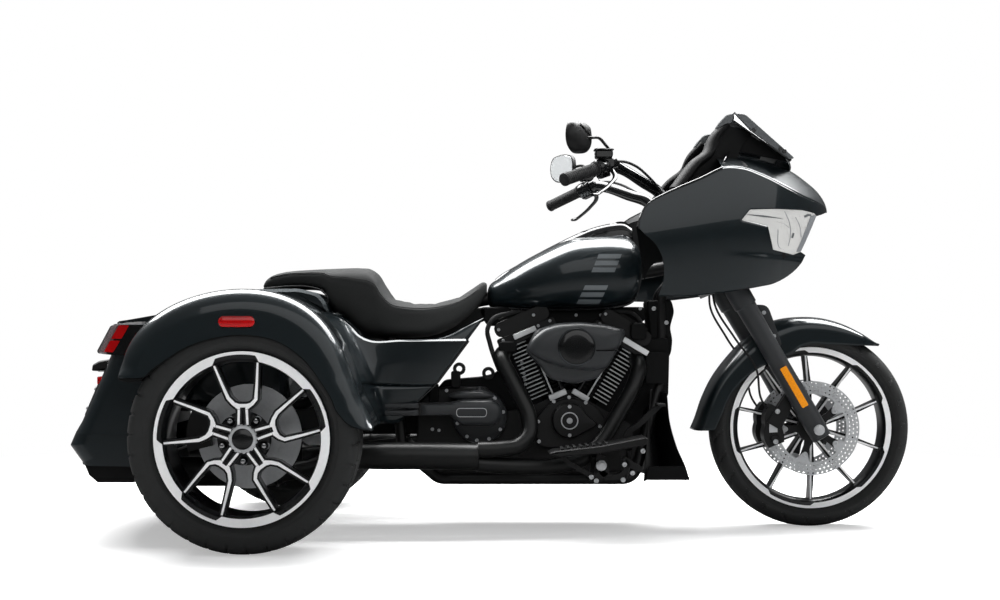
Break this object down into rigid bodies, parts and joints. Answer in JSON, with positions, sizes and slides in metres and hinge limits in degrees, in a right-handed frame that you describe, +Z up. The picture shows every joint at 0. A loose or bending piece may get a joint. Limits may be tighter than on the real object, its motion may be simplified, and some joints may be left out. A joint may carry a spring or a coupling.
{
  "type": "touring motorcycle",
  "caption": "Three-wheeled V-twin touring motorcycle with a frame-mounted fairing, short tinted screen, stepped seat, wide rear fenders and a trunk with a hinged lid.",
  "frame": {"origin": "on the ground, below the centre of the vehicle's bounding box", "axes": "+X forward, +Y to the rider's left, +Z up"},
  "size_m": [2.6469, 1.4046, 1.322],
  "materials": {
    "paint": "dark blue-green grey metallic, clear-coated",
    "black_gloss": "gloss black",
    "black_satin": "satin black",
    "black_plastic": "matte black, finely textured",
    "engine_black": "black powder coat, machined edges",
    "chrome": "polished chrome",
    "rim_black": "gloss black with machined faces",
    "disc_steel": "brushed",
    "steel_black": "black powder coat",
    "tyre": "matte",
    "rubber": "matte ribbed",
    "seat": "satin black",
    "screen": "dark tinted, polished",
    "lamp_clear": "clear",
    "lamp_red": "clear red",
    "plate": "satin black"
  },
  "bodies": {
    "chassis": {"air_cleaner": "black_gloss", "cam_cover": "engine_black", "chin_spoiler": "paint", "cylinders": "engine_black", "drive_belt": "rubber", "engine_block": "engine_black", "exhaust_headers": "black_satin", "fairing_shell": "paint", "foot_controls": "steel_black", "footboards": "rubber", "frame": "steel_black", "fuel_tank": "paint", "headlights": "lamp_clear", "inner_fairing": "black_plastic", "mufflers": "black_satin", "plate_holder": "plate", "primary_cover": "engine_black", "pushrod_tubes": "chrome", "rear_axle_housing": "steel_black", "rear_brake_calipers": "black_satin", "rear_bumper": "paint", "rear_fender_left": "paint", "rear_fender_right": "paint", "rear_reflectors": "lamp_red", "rear_shocks": "steel_black", "rear_valance": "black_plastic", "rocker_boxes": "engine_black", "seat": "seat", "side_covers": "paint", "side_markers": "lamp_red", "swingarm": "steel_black", "tail_lights": "lamp_red", "tank_console": "black_gloss", "transmission": "engine_black", "trunk_body": "paint", "windshield": "screen"},
    "fork": {"triple_clamps": "black_gloss", "fork_legs": "black_gloss", "front_axle": "chrome", "front_brake_calipers": "black_satin", "front_fender": "paint", "handlebar": "black_gloss", "grips": "rubber", "hand_controls": "black_satin", "mirrors": "black_gloss"},
    "front_wheel": {"front_tyre": "tyre", "front_rim": "rim_black", "front_brake_discs": "disc_steel"},
    "rear_wheel_right": {"rear_tyre_right": "tyre", "rear_rim_right": "rim_black", "rear_brake_disc_right": "disc_steel"},
    "rear_wheel_left": {"rear_tyre_left": "tyre", "rear_rim_left": "rim_black", "rear_brake_disc_left": "disc_steel"},
    "trunk_lid": {"trunk_lid": "paint"},
    "fuel_door": {"fuel_door": "chrome"}
  },
  "joints": [
    {"name": "steering", "type": "hinge", "parent": "chassis", "child": "fork", "pos_m": [0.565, 0, 0.96], "axis": [-0.5, 0, 0.866], "range_deg": [-30, 30]},
    {"name": "front_wheel_spin", "type": "hinge", "parent": "fork", "child": "front_wheel", "pos_m": [1.00436, 0, 0.319], "axis": [0, 1, 0], "continuous": true},
    {"name": "rear_wheel_right_spin", "type": "hinge", "parent": "chassis", "child": "rear_wheel_right", "pos_m": [-0.71564, -0.565, 0.3254], "axis": [0, 1, 0], "continuous": true},
    {"name": "rear_wheel_left_spin", "type": "hinge", "parent": "chassis", "child": "rear_wheel_left", "pos_m": [-0.71564, 0.565, 0.3254], "axis": [0, 1, 0], "continuous": true},
    {"name": "trunk_lid_hinge", "type": "hinge", "parent": "chassis", "child": "trunk_lid", "pos_m": [-0.774, 0, 0.744], "axis": [0, 1, 0], "range_deg": [0, 70]},
    {"name": "fuel_door_hinge", "type": "hinge", "parent": "chassis", "child": "fuel_door", "pos_m": [0.3745, 0, 0.978], "axis": [0, 1, 0], "range_deg": [0, 80]}
  ]
}
